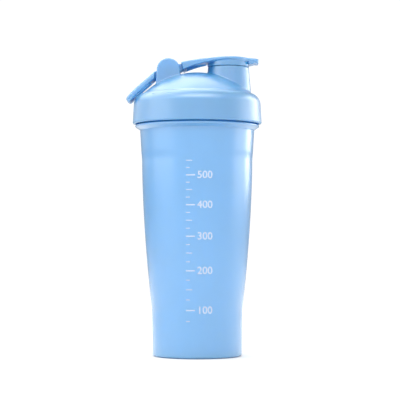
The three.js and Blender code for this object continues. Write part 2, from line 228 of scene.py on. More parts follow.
def slab(value, low, high):
    """Between two values of one coordinate."""
    return np.maximum(low - value, value - high)


def rounded_box(u, v, half_u, half_v, corner):
    """A rectangle about the origin with round corners."""
    du, dv = np.abs(u) - half_u + corner, np.abs(v) - half_v + corner
    outside = np.hypot(np.maximum(du, 0), np.maximum(dv, 0))
    return outside + np.minimum(np.maximum(du, dv), 0) - corner


def ridge(x, y, z, root, crest, start, turns):
    """A helical thread that stands on the root radius and reaches to the crest radius."""
    side = 1.0 if crest > root else -1.0
    angle = np.arctan2(y, x) % TAU
    turn = np.round((z - start) / LEAD - angle / TAU)
    turn = np.clip(turn, 0, math.floor(turns))
    run = (turn + angle / TAU) / turns
    fade = np.clip(np.minimum(run, 1 - run) / THREAD_FADE, -1, 1)
    away = np.abs(z - start - LEAD * (turn + angle / TAU))
    height = abs(crest - root) * fade
    up = side * (np.hypot(x, y) - root)
    share = np.clip(up / abs(crest - root), 0, 1)
    half = (THREAD_ROOT + (THREAD_CREST - THREAD_ROOT) * share) / 2
    flank = (away - half) * 0.95
    return meet(meet(flank, up - height, 0.35), -0.6 - up, 0.1)


# ---- Meshes from fields ------------------------------------------------------------


def net(field, low, high, step):
    """Closed surface of a field by surface nets, its vertices then moved onto the exact surface.
    Returns vertices, quads and normals."""
    axes = [np.arange(a - 1.5 * step, b + 2.5 * step, step) for a, b in zip(low, high)]
    grid = np.meshgrid(*axes, indexing="ij")
    values = field(*grid)
    inside = values < 0
    shape = tuple(n - 1 for n in values.shape)

    def corner(array, dx, dy, dz):
        return array[dx : dx + shape[0], dy : dy + shape[1], dz : dz + shape[2]]

    corners = [(i, j, k) for i in (0, 1) for j in (0, 1) for k in (0, 1)]
    count = sum(corner(inside, *c).astype(np.int8) for c in corners)
    active = (count > 0) & (count < 8)
    cells = np.argwhere(active)
    index = np.full(shape, -1, np.int64)
    index[active] = np.arange(len(cells))
    total = np.zeros((len(cells), 3))
    hits = np.zeros(len(cells))
    for a in corners:
        for axis in range(3):
            if a[axis]:
                continue
            b = tuple(1 if i == axis else a[i] for i in range(3))
            va, vb = corner(values, *a)[active], corner(values, *b)[active]
            crossing = (va < 0) != (vb < 0)
            share = np.where(crossing, va / np.where(va == vb, 1, va - vb), 0)
            place = cells + np.array(a, float)
            place[:, axis] += share
            total += place * crossing[:, None]
            hits += crossing
    origin = np.array([axis[0] for axis in axes])
    points = origin + step * total / hits[:, None]

    quads = []
    for axis in range(3):
        u, v = (axis + 1) % 3, (axis + 2) % 3
        near = [slice(1, -1)] * 3
        near[axis] = slice(0, -1)
        far = list(near)
        far[axis] = slice(1, None)
        a, b = inside[tuple(near)], inside[tuple(far)]
        for leaving in (True, False):
            at = np.argwhere(a & ~b if leaving else ~a & b)
            at[:, u] += 1
            at[:, v] += 1
            ring = []
            for du, dv in ((-1, -1), (0, -1), (0, 0), (-1, 0)):
                cell = at.copy()
                cell[:, u] += du
                cell[:, v] += dv
                ring.append(index[cell[:, 0], cell[:, 1], cell[:, 2]])
            quads.append(np.stack(ring if leaving else ring[::-1], axis=1))
    quads = np.concatenate(quads)

    normals = slope(field, points)
    for _ in range(4):
        away = field(*points.T)
        move = -normals * away[:, None]
        points += np.clip(move, -0.5 * step, 0.5 * step)
        normals = slope(field, points)
    return points, quads, normals


def slope(field, points, reach=0.04):
    """Unit gradient of a field at each point."""
    result = np.empty_like(points)
    for axis in range(3):
        step = np.zeros(3)
        step[axis] = reach
        result[:, axis] = field(*(points + step).T) - field(*(points - step).T)
    length = np.linalg.norm(result, axis=1, keepdims=True)
    return result / np.maximum(length, 1e-9)


def add_mesh(name, points, faces, material, normals=None, smooth=True):
    """A Blender object from points in millimetres."""
    mesh = bpy.data.meshes.new(name)
    mesh.from_pydata((np.asarray(points) * MM).tolist(), [], [[int(i) for i in face] for face in faces])
    mesh.validate()
    mesh.polygons.foreach_set("use_smooth", [smooth] * len(mesh.polygons))
    if normals is not None and len(mesh.vertices) == len(normals):
        mesh.normals_split_custom_set_from_vertices(normals.tolist())
    piece = bpy.data.objects.new(name, mesh)
    bpy.context.scene.collection.objects.link(piece)
    mesh.materials.append(material)
    return piece


def add_field(name, field, low, high, step, material):
    points, quads, normals = net(field, low, high, step)
    return add_mesh(name, points, quads, material, normals)


def turned(profile, steps, radius_at=None):
    """Points and quads of a closed profile of [radius, height], turned round the Z axis."""
    profile = np.array(profile, float)
    angle = np.arange(steps) * TAU / steps
    r = np.repeat(profile[:, :1], steps, axis=1)
    z = np.repeat(profile[:, 1:], steps, axis=1)
    if radius_at is not None:
        r = radius_at(r, z, angle[None, :])
    points = np.stack([r * np.cos(angle), r * np.sin(angle), z], axis=2).reshape(-1, 3)
    rows = len(profile)
    row, col = np.meshgrid(np.arange(rows), np.arange(steps), indexing="ij")
    next_row, next_col = (row + 1) % rows, (col + 1) % steps
    corners = [(row, col), (row, next_col), (next_row, next_col), (next_row, col)]
    quads = np.stack([(i * steps + j).ravel() for i, j in corners], axis=1)
    return points, quads


def capped(profile, steps, low, high, radius_at=None):
    """A turned profile whose first and last points lie near the axis, closed there by discs."""
    points, quads = turned(profile, steps, radius_at)
    last = len(points) - steps
    faces = quads[:last].tolist()
    points = np.vstack([points, [[0, 0, low], [0, 0, high]]])
    for i in range(steps):
        j = (i + 1) % steps
        faces.append([last + steps, j, i])
        faces.append([last + steps + 1, last + i, last + j])
    return points, faces


def arc(cx, cz, radius, start, end, steps):
    angles = np.radians(np.linspace(start, end, steps + 1))
    return [[cx + radius * math.cos(a), cz + radius * math.sin(a)] for a in angles]


def line(a, b, steps):
    """Points from a to b, with b left out."""
    return [[a[0] + (b[0] - a[0]) * i / steps, a[1] + (b[1] - a[1]) * i / steps] for i in range(steps)]


# ---- Materials -----------------------------------------------------------------------


def tree(name):
    """A new material, with its node maker, linker and shader."""
    material = bpy.data.materials.new(name)
    material.use_nodes = True
    nodes, links = material.node_tree.nodes, material.node_tree.links

    def node(kind, inputs=None, **settings):
        made = nodes.new("ShaderNode" + kind)
        for key, value in settings.items():
            setattr(made, key, value)
        for key, value in (inputs or {}).items():
            if isinstance(value, bpy.types.NodeSocket):
                links.new(value, made.inputs[key])
            else:
                made.inputs[key].default_value = value
        return made

    return material, node, links, nodes["Principled BSDF"]


def linear(*screen):
    """A colour given as 0-255 screen values, as the shader wants it."""
    return tuple(((v / 255 + 0.055) / 1.055) ** 2.4 for v in screen) + (1.0,)


def shade(colour, factor, lift=0.0):
    return tuple(min(1.0, c * factor + lift) for c in colour[:3]) + (1.0,)


def noise(node, where, scale, detail=3.0, rough=0.55):
    inputs = {"Vector": where, "Scale": scale, "Detail": detail, "Roughness": rough}
    return node("TexNoise", inputs).outputs["Fac"]


def between(node, value, low, high, start=0.3, end=0.7):
    """A number that goes from low to high as the value goes from start to end."""
    inputs = {"Value": value, "From Min": start, "From Max": end, "To Min": low, "To Max": high}
    return node("MapRange", inputs).outputs["Result"]


def blend(node, factor, a, b):
    return node("Mix", {0: factor, 6: a, 7: b}, data_type="RGBA").outputs[2]


def wrapped(node, where):
    """The place on a round wall: along its girth, and up."""
    parts = node("SeparateXYZ", {"Vector": where}).outputs
    angle = node("Math", {0: parts["Y"], 1: parts["X"]}, operation="ARCTAN2").outputs[0]
    girth = node("Math", {0: angle, 1: COLLAR_RADIUS * MM}, operation="MULTIPLY").outputs[0]
    return node("CombineXYZ", {"X": girth, "Y": parts["Z"]}).outputs["Vector"]


def scuffs(node, where):
    """Hairline scratches in two slanting directions, 0 to 1."""
    lines = []
    for turn, size in ((0.5, 2600.0), (-0.9, 3100.0)):
        stretch = {"Vector": where, "Rotation": (0.0, 0.0, turn), "Scale": (0.02, 1.0, 0.02)}
        streak = node("Mapping", stretch).outputs["Vector"]
        lines.append(between(node, noise(node, streak, size, 1.0), 0.0, 1.0, 0.68, 0.76))
    return node("Math", {0: lines[0], 1: lines[1]}, operation="MAXIMUM").outputs[0]


def moulded_plastic(name, colour, roughness, grain, grain_size, coat_rough, round_wall):
    """Moulded polypropylene: spark-eroded grain, faint flow marks and hairline scuffs."""
    material, node, links, shader = tree(name)
    where = node("TexCoord").outputs["Object"]
    flow = noise(node, where, 26.0, 2.0)
    base = blend(node, between(node, flow, 0.0, 1.0), colour, shade(colour, 0.95))
    worn = scuffs(node, wrapped(node, where) if round_wall else where)
    base = blend(node, between(node, worn, 0.0, 0.12, 0.0, 1.0), base, shade(colour, 1.0, 0.1))
    links.new(base, shader.inputs["Base Color"])
    uneven = between(node, noise(node, where, 40.0, 1.0), roughness - 0.03, roughness + 0.04)
    links.new(uneven, shader.inputs["Roughness"])
    fine = noise(node, where, grain_size, 2.0, 0.6)
    height = node("Math", {0: worn, 1: -0.2, 2: fine}, operation="MULTIPLY_ADD").outputs[0]
    bump = node("Bump", {"Strength": grain, "Distance": 0.0001, "Height": height})
    links.new(bump.outputs["Normal"], shader.inputs["Normal"])
    shader.inputs["IOR"].default_value = 1.49
    shader.inputs["Coat Weight"].default_value = 1.0
    shader.inputs["Coat Roughness"].default_value = coat_rough
    shader.inputs["Coat IOR"].default_value = 2.0
    shader.inputs["Specular IOR Level"].default_value = 1.0
    return material, shader


def frosted_plastic(name):
    """The cup's thin frosted wall: smooth outside, light passes through it."""
    material, shader = moulded_plastic(name, (0.09, 0.465, 0.9, 1.0), 0.35, 0.1, 900.0, 0.27, True)
    shader.inputs["Transmission Weight"].default_value = 0.5
    return material


def matte_plastic(name, round_wall=False):
    """The plastic of the lid, cap and loop: milky, with a fine matte grain."""
    colour = (0.03, 0.37, 0.76, 1.0)
    material, shader = moulded_plastic(name, colour, 0.42, 0.7, 1100.0, 0.38, round_wall)
    shader.inputs["Transmission Weight"].default_value = 0.5
    shader.inputs["Subsurface Weight"].default_value = 0.4
    shader.inputs["Subsurface Radius"].default_value = (0.4, 0.8, 1.0)
    shader.inputs["Subsurface Scale"].default_value = 0.007
    return material


def silicone(name):
    """Soft translucent silicone with dust-fine mottling."""
    material, node, links, shader = tree(name)
    where = node("TexCoord").outputs["Object"]
    mottle = between(node, noise(node, where, 190.0), 0.0, 1.0)
    links.new(blend(node, mottle, linear(188, 201, 214), linear(168, 184, 200)), shader.inputs["Base Color"])
    links.new(between(node, noise(node, where, 420.0), 0.34, 0.5), shader.inputs["Roughness"])
    bump = node("Bump", {"Strength": 0.25, "Distance": 0.00005, "Height": noise(node, where, 1500.0)})
    links.new(bump.outputs["Normal"], shader.inputs["Normal"])
    shader.inputs["Subsurface Weight"].default_value = 0.35
    shader.inputs["Subsurface Radius"].default_value = (1.0, 1.0, 1.0)
    shader.inputs["Subsurface Scale"].default_value = 0.003
    return material


def steel(name, colour, low, high, stretch):
    """Drawn or ground stainless steel, its fine marks stretched one way."""
    material, node, links, shader = tree(name)
    where = node("TexCoord").outputs["Object"]
    drawn = node("Mapping", {"Vector": where, "Scale": stretch}).outputs["Vector"]
    marks = noise(node, drawn, 900.0, 4.0, 0.65)
    stain = between(node, noise(node, where, 90.0, 2.0), 0.0, 1.0)
    links.new(blend(node, stain, colour, shade(colour, 0.86)), shader.inputs["Base Color"])
    links.new(between(node, marks, low, high), shader.inputs["Roughness"])
    bump = node("Bump", {"Strength": 0.18, "Distance": 0.00004, "Height": marks})
    links.new(bump.outputs["Normal"], shader.inputs["Normal"])
    shader.inputs["Metallic"].default_value = 1.0
    return material


def ink(name):
    """Pad-printed ink, slightly thin in places."""
    material, node, links, shader = tree(name)
    where = node("TexCoord").outputs["Object"]
    thin = between(node, noise(node, where, 700.0, 4.0, 0.7), 0.0, 1.0, 0.45, 0.8)
    links.new(blend(node, thin, linear(174, 188, 210), linear(160, 182, 210)), shader.inputs["Base Color"])
    links.new(between(node, noise(node, where, 300.0), 0.4, 0.55), shader.inputs["Roughness"])
    bump = node("Bump", {"Strength": 0.2, "Distance": 0.00002, "Height": noise(node, where, 2200.0)})
    links.new(bump.outputs["Normal"], shader.inputs["Normal"])
    return material


def floor_paint(name):
    """Matte white studio floor, barely uneven."""
    material, node, links, shader = tree(name)
    where = node("TexCoord").outputs["Object"]
    uneven = between(node, noise(node, where, 3.0), 0.0, 1.0)
    links.new(blend(node, uneven, linear(224, 224, 224), linear(221, 222, 222)), shader.inputs["Base Color"])
    shader.inputs["Roughness"].default_value = 0.7
    shader.inputs["Specular IOR Level"].default_value = 0.2
    return material


cup_plastic = frosted_plastic("cup_plastic")
lid_plastic = matte_plastic("lid_plastic", True)
cap_plastic = matte_plastic("cap_plastic")
loop_plastic = matte_plastic("loop_plastic")
seal_silicone = silicone("seal_silicone")
plug_silicone = silicone("plug_silicone")
whisk_steel = steel("whisk_steel", linear(226, 228, 231), 0.12, 0.26, (1.0, 1.0, 1.0))
pin_steel = steel("pin_steel", linear(214, 216, 219), 0.2, 0.38, (1.0, 0.08, 1.0))
scale_ink = ink("scale_ink")


def rides(piece, body, node):
    """The piece rides on a body, and stands for a CAD node if one is given."""
    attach(piece, body)
    if node:
        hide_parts(node)


# ---- Cup -------------------------------------------------------------------------------


def swell(z):
    down = (SWELL_TOP - z) / (SWELL_TOP - FOOT_HEIGHT)
    return SWELL_RADIUS - (SWELL_RADIUS - FOOT_TOP_RADIUS) * np.clip(down, 0, 1) ** SWELL_POWER


def swell_points(low, high, steps, inset=0.0):
    heights = np.linspace(low, high, steps + 1)
    return [[swell(z) - inset, z] for z in heights]


def soft_step(low, high, steps):
    """From the swelling wall up to the slightly wider band under the collar."""
    made = []
    for z in np.linspace(low, high, steps + 1):
        share = np.clip((z - SWELL_TOP + BLEND_BELOW) / BLEND_HEIGHT, 0, 1)
        band = COLLAR_ROOT_RADIUS + (STEP_RADIUS - COLLAR_ROOT_RADIUS) * (COLLAR_ROOT - z) / BAND_LENGTH
        made.append([swell(z) + (band - swell(z)) * share * share * (3 - 2 * share), z])
    return made


def cup_outside():
    return [
        *line([0.4, 0.0], [12.0, 0.0], 4),
        *arc(12.0, 0.5, 0.5, -90, -10, 3),
        *arc(13.3, 0.3, 0.5, 170, 90, 3),
        *line([13.8, 0.8], [26.7, 0.8], 4),
        *arc(27.2, 0.3, 0.5, 90, 10, 3),
        *arc(28.7, 0.5, 0.5, 190, 270, 3),
        *arc(FOOT_RADIUS - 1.6, 1.6, 1.6, -90, 0, 8),
        *line([FOOT_RADIUS + 0.01, 2.4], [FOOT_TOP_RADIUS - 0.02, FOOT_HEIGHT - 0.8], 18),
        *swell_points(FOOT_HEIGHT + 0.4, SWELL_TOP - 4.0, 70),
        *soft_step(SWELL_TOP - BLEND_BELOW, COLLAR_ROOT - 1.4, 34),
        *arc(COLLAR_ROOT_RADIUS + 0.9, COLLAR_ROOT - 0.3, 0.9, 180, 128, 3),
        *line([42.9, COLLAR_ROOT + 0.55], [45.0, COLLAR_ROOT + 2.15], 3),
        *arc(COLLAR_RADIUS - 1.15, COLLAR_ROOT + 3.1, 1.15, -48, 72, 8),
        *line([44.85, COLLAR_TOP], [43.3, COLLAR_TOP], 2),
        *arc(NECK_RADIUS + 0.5, COLLAR_TOP + 0.5, 0.5, 270, 180, 4),
        *line([NECK_RADIUS, COLLAR_TOP + 1.0], [NECK_RADIUS, RIM - 0.9], 56),
        *arc((NECK_RADIUS + NECK_BORE) / 2, RIM - 0.85, 0.85, 0, 180, 8),
    ]


def cup_inside():
    foot = FOOT_RADIUS - WALL
    return [
        *line([NECK_BORE, RIM - 1.2], [NECK_BORE, COLLAR_TOP], 4),
        *line([NECK_BORE - 0.02, COLLAR_TOP - 0.6], [COLLAR_ROOT_RADIUS - WALL, COLLAR_ROOT - 2.0], 4),
        *line([COLLAR_ROOT_RADIUS - WALL - 0.02, COLLAR_ROOT - 2.6], [STEP_RADIUS - WALL, SWELL_TOP], 6),
        *swell_points(FOOT_HEIGHT + 0.4, SWELL_TOP - 2.0, 40, WALL)[::-1],
        *line([FOOT_TOP_RADIUS - WALL, FOOT_HEIGHT - 1.0], [foot, FLOOR_TOP + 3.2], 8),
        *arc(foot - 3, FLOOR_TOP + 3, 3, 0, -90, 8),
        *line([foot - 3.4, FLOOR_TOP], [0.4, FLOOR_TOP], 8),
        [0.4, FLOOR_TOP],
    ]


def with_thread(r, z, angle):
    """The neck's outer radius with its thread raised on it."""
    on_neck = (np.abs(r - NECK_RADIUS) < 0.05) & (z > COLLAR_TOP + 0.8) & (z < RIM - 0.4)
    turn = np.clip(np.round((z - CUP_THREAD_START) / LEAD - angle / TAU), 0, math.floor(CUP_TURNS))
    run = (turn + angle / TAU) / CUP_TURNS
    fade = np.clip(np.minimum(run, 1 - run) / THREAD_FADE, 0, 1)
    away = np.abs(z - CUP_THREAD_START - LEAD * (turn + angle / TAU))
    share = np.clip((THREAD_ROOT / 2 - away) / ((THREAD_ROOT - THREAD_CREST) / 2), 0, 1)
    rise = share * share * (3 - 2 * share) * fade * fade * (3 - 2 * fade)
    return r + np.where(on_neck, (CUP_CREST - NECK_RADIUS) * rise, 0)


def make_cup():
    points, faces = capped(cup_outside() + cup_inside(), 224, 0.0, FLOOR_TOP, with_thread)
    return add_mesh("cup_shell", points, faces, cup_plastic)


rides(make_cup(), "cup_body", "cup")

# ---- Measuring scale printed on the cup --------------------------------------------------


def levels(step_ml):
    """Filling marks: millilitres and the heights they stand at."""
    z = np.linspace(FLOOR_TOP, COLLAR_ROOT, 1600)
    foot = FOOT_RADIUS + (FOOT_TOP_RADIUS - FOOT_RADIUS) * z / FOOT_HEIGHT
    inner = np.where(z < FOOT_HEIGHT, foot, swell(z)) - WALL
    volume = np.cumsum(math.pi * inner**2) * (z[1] - z[0]) / 1000
    marks = np.arange(step_ml, volume[-1], step_ml)
    return [(int(ml), float(height)) for ml, height in zip(marks, np.interp(marks, volume, z))]


def numeral(text, left, middle):
    """Raised figures laid flat, as a mesh in millimetres."""
    font = bpy.data.curves.new("figures", "FONT")
    font.body = text
    font.size = FIGURE_SIZE
    font.offset = 0.12
    font.extrude = INK_DEPTH / 2
    font.align_y = "CENTER"
    font.resolution_u = 5
    holder = bpy.data.objects.new("figures", font)
    bpy.context.scene.collection.objects.link(holder)
    bpy.context.view_layer.update()
    mesh = bpy.data.meshes.new_from_object(holder.evaluated_get(bpy.context.evaluated_depsgraph_get()))
    bpy.data.objects.remove(holder)
    bpy.data.curves.remove(font)
    mesh.transform(Matrix.Translation((left, middle, 0)))
    return mesh


def tick(made, left, right, middle, half):
    corners = [(left, middle - half), (right, middle - half), (right, middle + half), (left, middle + half)]
    low = [made.verts.new((u, v, -INK_DEPTH / 2)) for u, v in corners]
    high = [made.verts.new((u, v, INK_DEPTH / 2)) for u, v in corners]
    made.faces.new(low[::-1])
    made.faces.new(high)
    for i in range(4):
        j = (i + 1) % 4
        made.faces.new([low[i], low[j], high[j], high[i]])


def make_scale():
    """Ticks and figures for filling, wrapped round the front of the cup."""
    made = bmesh.new()
    for ml, height in levels(25):
        if not SCALE_LOW < height < SCALE_HIGH:
            continue
        if ml % 100 == 0:
            tick(made, SCALE_LEFT, SCALE_LEFT + TICK_LONG, height, TICK_BOLD)
            mesh = numeral(str(ml), SCALE_LEFT + FIGURE_LEFT, height)
            made.from_mesh(mesh)
            bpy.data.meshes.remove(mesh)
        else:
            length = TICK_MIDDLE if ml % 50 == 0 else TICK_SHORT
            tick(made, SCALE_LEFT, SCALE_LEFT + length, height, TICK_FINE)
    for u in np.arange(SCALE_LEFT + SCALE_BEND, SCALE_LEFT + SCALE_WIDTH, SCALE_BEND):
        parts = list(made.verts) + list(made.edges) + list(made.faces)
        bmesh.ops.bisect_plane(made, geom=parts, plane_co=(u, 0, 0), plane_no=(1, 0, 0))
    bmesh.ops.triangulate(made, faces=made.faces)
    for vert in made.verts:
        u, v, lift = vert.co
        foot = FOOT_RADIUS + (FOOT_TOP_RADIUS - FOOT_RADIUS) * v / FOOT_HEIGHT
        radius = foot if v < FOOT_HEIGHT else float(swell(v))
        out = radius + lift
        vert.co = (out * math.sin(u / radius), -out * math.cos(u / radius), v)
    points = [tuple(vert.co) for vert in made.verts]
    made.verts.index_update()
    faces = [[vert.index for vert in face.verts] for face in made.faces]
    made.free()
    return add_mesh("fill_scale", points, faces, scale_ink, smooth=False)


rides(make_scale(), "cup_body", None)

# ---- Lid -------------------------------------------------------------------------------


def lid_collar(r, z):
    """The skirt, its round shoulder and the band that slopes up to the dome."""
    lean = (z - SKIRT_BOTTOM) * math.tan(SKIRT_LEAN)
    wall = (r - SKIRT_RADIUS + np.maximum(lean, 0)) * math.cos(SKIRT_LEAN)
    band = (z - BAND_HEIGHT) * math.cos(BAND_SLOPE) + (r - BAND_RADIUS) * math.sin(BAND_SLOPE)
    return meet(meet(wall, band, SHOULDER_ROUND), SKIRT_BOTTOM - z, 1.0)


def ear_outline(x, z):
    """A round head whose sides run down from it, leaning apart."""
    dx, dz = np.abs(x - PIVOT_X), z - PIVOT_Z
    side = dx * math.cos(EAR_LEAN) + dz * math.sin(EAR_LEAN) - EAR_RADIUS
    head = np.hypot(dx, dz) - EAR_RADIUS
    return np.where(dz > dx * math.tan(EAR_LEAN), head, side)


def lid_cavity(r, z, ball):
    """The room inside the lid, with a rib hanging in it just inside the gasket."""
    taper = r - SKIRT_BORE + np.maximum(z - TAPER_START, 0) * TAPER_SLOPE
    inside_rib = np.maximum(ball - DOME_RADIUS + DOME_WALL, r - RIB_INNER)
    below_rib = np.maximum(taper, z - RIB_BOTTOM)
    seat = np.maximum(r - SEAT_RADIUS, z - SEAT_HEIGHT)
    return np.minimum(np.minimum(inside_rib, below_rib), np.maximum(seat, RIB_OUTER - r))


def lid_field(x, y, z):
    r = np.hypot(x, y)
    ball = np.hypot(r, z - DOME_TOP + DOME_RADIUS)
    dome = np.maximum(ball - DOME_RADIUS, DOME_FOOT - z)
    body = join(lid_collar(r, z), dome, 0.35)
    from_spout = np.hypot(x - SPOUT_X, y)
    cone = from_spout - SPOUT_RADIUS - (SPOUT_TOP - z) * math.tan(SPOUT_LEAN)
    body = join(body, np.maximum(meet(cone, z - SPOUT_TOP, 0.5), ROOT_LEVEL - z), 1.0)
    half = (EAR_OUTER - EAR_INNER) / 2
    across = np.abs(np.abs(y) - EAR_INNER - half) - half
    body = join(body, np.maximum(meet(ear_outline(x, z), across, 1.0), ROOT_LEVEL - z), 0.7)
    body = cut(body, lid_cavity(r, z, ball), 0.3)
    body = cut(body, np.maximum(from_spout - SPOUT_BORE, BORE_FOOT - z), 0.55)
    pin = np.hypot(x - PIVOT_X, z - PIVOT_Z) - PIN_HOLE
    body = cut(body, np.maximum(pin, -EAR_INNER - BLIND_DEPTH - y), 0.3)
    return join(body, ridge(x, y, z, SKIRT_BORE, LID_CREST, LID_THREAD_START, LID_TURNS), 0.25)


def make_lid():
    return add_field("lid_shell", lid_field, lid_low, lid_high, LID_CELL, lid_plastic)


rides(make_lid(), "lid_body", "lid")

# ---- Flip cap --------------------------------------------------------------------------


def left_of(u, v, a, b):
    """Distance to the left of the line from a to b."""
    du, dv = b[0] - a[0], b[1] - a[1]
    return ((v - a[1]) * du - (u - a[0]) * dv) / math.hypot(du, dv)


def cap_top(x):
    return CAP_TOP - CAP_TOP_ARC + math.sqrt(CAP_TOP_ARC**2 - (x - CAP_APEX) ** 2)


def cap_under(x):
    return CAP_UNDER - CAP_UNDER_ARC + math.sqrt(CAP_UNDER_ARC**2 - (x - CAP_APEX) ** 2)


def round_pivot(angle):
    """A point on the knuckle's circle, as x and z."""
    turn = math.radians(angle)
    return PIVOT_X + KNUCKLE_RADIUS * math.cos(turn), PIVOT_Z + KNUCKLE_RADIUS * math.sin(turn)


def cap_plate(x, y, z, top, under):
    """The arm, the round plate over the spout, and the thumb tab beyond it."""
    arm = np.maximum(np.maximum(np.abs(y) - ARM_HALF, x - SPOUT_X), PIVOT_X - x)
    plate = join(arm, np.hypot(x - SPOUT_X, y) - PLATE_RADIUS, 2.5)
    tab = rounded_box(x - TAB_TIP + 9.5, y, 10.0, TAB_HALF, 4.0)
    plan = np.maximum(join(plate, tab, 2.0), x - TAB_TIP)
    body = meet(plan, meet(top, under, 0.8), 0.9)
    toe = left_of(x, z, (TAB_TIP, TAB_TIP_HEIGHT), (TAB_TOE, TAB_BOTTOM))
    wedge = meet(meet(toe, TAB_BOTTOM - z, 0.8), TAB_INNER - x, 0.5)
    return join(body, meet(wedge, meet(top, plan, 0.9), 0.9), 0.5)


def cap_neck(x, y, z, from_pivot):
    """The narrow neck from the arm to the knuckle on the pin."""
    root = PIVOT_X + ROOT_RADIUS + 1.5
    roof = left_of(x, z, round_pivot(115), (root, cap_top(root) - 0.6))
    floor = left_of(x, z, (root, cap_under(root) + 0.2), round_pivot(290))
    neck = np.maximum(np.maximum(roof, floor), np.maximum(x - root - 1.0, PIVOT_X - 1.9 - x))
    neck = join(neck, from_pivot - KNUCKLE_RADIUS, 0.4)
    return meet(neck, np.abs(y) - KNUCKLE_HALF, 0.6)


def cap_field(x, y, z):
    top = np.hypot(x - CAP_APEX, z - CAP_TOP + CAP_TOP_ARC) - CAP_TOP_ARC
    under = CAP_UNDER_ARC - np.hypot(x - CAP_APEX, z - CAP_UNDER + CAP_UNDER_ARC)
    from_pivot = np.hypot(x - PIVOT_X, z - PIVOT_Z)
    from_spout = np.hypot(x - SPOUT_X, y)
    body = cut(cap_plate(x, y, z, top, under), from_pivot - ROOT_RADIUS, 0.8)
    length = slab(x, PIVOT_X + ROOT_RADIUS + 2.5, CHANNEL_END)
    channel = meet(meet(length, np.abs(y) - ARM_HALF + RAIL, 1.0), top + SKIN, 0.8)
    body = cut(body, channel, 0.45)
    body = join(body, cap_neck(x, y, z, from_pivot), 0.5)
    ring = meet(slab(from_spout, RING_INNER, RING_OUTER), SPOUT_TOP + 0.2 - z, 0.45)
    boss = meet(from_spout - BOSS_RADIUS, BOSS_BOTTOM - z, 0.5)
    body = join(body, np.maximum(np.minimum(ring, boss), -under - 0.6), 0.6)
    return cut(body, from_pivot - PIN_HOLE, 0.3)


def make_cap():
    return add_field("cap_arm", cap_field, *box("flip_cap"), ARM_CELL, cap_plastic)


rides(make_cap(), "cap_body", "flip_cap")

# ---- Carry loop --------------------------------------------------------------------------


def down_slope(x, z):
    """Distance along the loop's slope from the hinge axis, and height square to it."""
    dx, dz = x - PIVOT_X, z - PIVOT_Z
    along = -dx * math.cos(LOOP_SLOPE) - dz * math.sin(LOOP_SLOPE)
    return along, -dx * math.sin(LOOP_SLOPE) + dz * math.cos(LOOP_SLOPE)


def loop_band(x, y, s, n):
    """The band, bent near its round end; returns it with its upper face."""
    ds, dn = s - LOOP_BEND_AT, n - LOOP_UNDER
    bent_s = ds * math.cos(LOOP_BEND) - dn * math.sin(LOOP_BEND)
    bent_n = ds * math.sin(LOOP_BEND) + dn * math.cos(LOOP_BEND)
    top = ease(n - LOOP_TOP, bent_n - LOOP_TOP + LOOP_UNDER, 1.2)
    under = -ease(dn, bent_n, 1.2)
    plan = rounded_box(s - LOOP_LENGTH + 18, y, 20, LOOP_HALF, LOOP_CORNER)
    rim = meet(plan, bent_s - LOOP_LENGTH + LOOP_BEND_AT, 2.0)
    band = np.maximum(meet(top, rim, 2.0), meet(under, rim, 1.0))
    return meet(band, x - EAR_CLEAR, 0.8), top


def loop_field(x, y, z):
    s, n = down_slope(x, z)
    band, top = loop_band(x, y, s, n)
    high, low = down_slope(*round_pivot(78)), down_slope(*round_pivot(-127))
    roof = np.maximum(top + 0.1, left_of(s, n, high, (8.0, LOOP_TOP - 0.1)))
    floor = left_of(s, n, (12.0, LOOP_UNDER), low)
    leg = np.maximum(np.maximum(roof, floor), np.maximum(s - 15.0, -s))
    leg = join(leg, np.hypot(x - PIVOT_X, z - PIVOT_Z) - KNUCKLE_RADIUS, 0.5)
    body = join(band, meet(leg, slab(np.abs(y), LEG_INNER, LEG_OUTER), 0.8), 0.8)
    middle, half = (HOLE_START + HOLE_END) / 2, (HOLE_END - HOLE_START) / 2
    body = cut(body, rounded_box(s - middle, y, half, HOLE_HALF, 4.0), 1.2)
    body = cut(body, lid_collar(np.hypot(x, y), z) - 1.2 * GAP, 0.4)
    return cut(body, np.hypot(x - PIVOT_X, z - PIVOT_Z) - PIN_HOLE, 0.3)


def make_loop():
    return add_field("loop_band", loop_field, *box("carry_loop"), ARM_CELL, loop_plastic)


rides(make_loop(), "loop_body", "carry_loop")

# ---- Seals, hinge pin and whisk ball -------------------------------------------------------


def make_gasket():
    """The lid's seal: a flat ring over the cup's rim, with a lip down inside the mouth."""
    top, ledge = SEAT_HEIGHT - GAP, RIM + GAP
    points, quads = turned([
        *arc(LIP_INNER + 0.3, LIP_BOTTOM + 0.3, 0.3, 180, 270, 4),
        *arc(LIP_OUTER - 0.45, LIP_BOTTOM + 0.45, 0.45, 270, 360, 4),
        *line([LIP_OUTER, LIP_BOTTOM + 1.0], [LIP_OUTER, ledge - 0.2], 5),
        *arc(LIP_OUTER + 0.2, ledge - 0.2, 0.2, 180, 90, 3),
        *arc(GASKET_OUTER - 0.3, ledge + 0.3, 0.3, 270, 360, 4),
        *arc(GASKET_OUTER - 0.3, top - 0.3, 0.3, 0, 90, 4),
        *arc(LIP_INNER + 0.3, top - 0.3, 0.3, 90, 180, 4),
        *line([LIP_INNER, top - 0.8], [LIP_INNER, LIP_BOTTOM + 0.8], 5),
    ], 200)
    return add_mesh("gasket_ring", points, quads, seal_silicone)


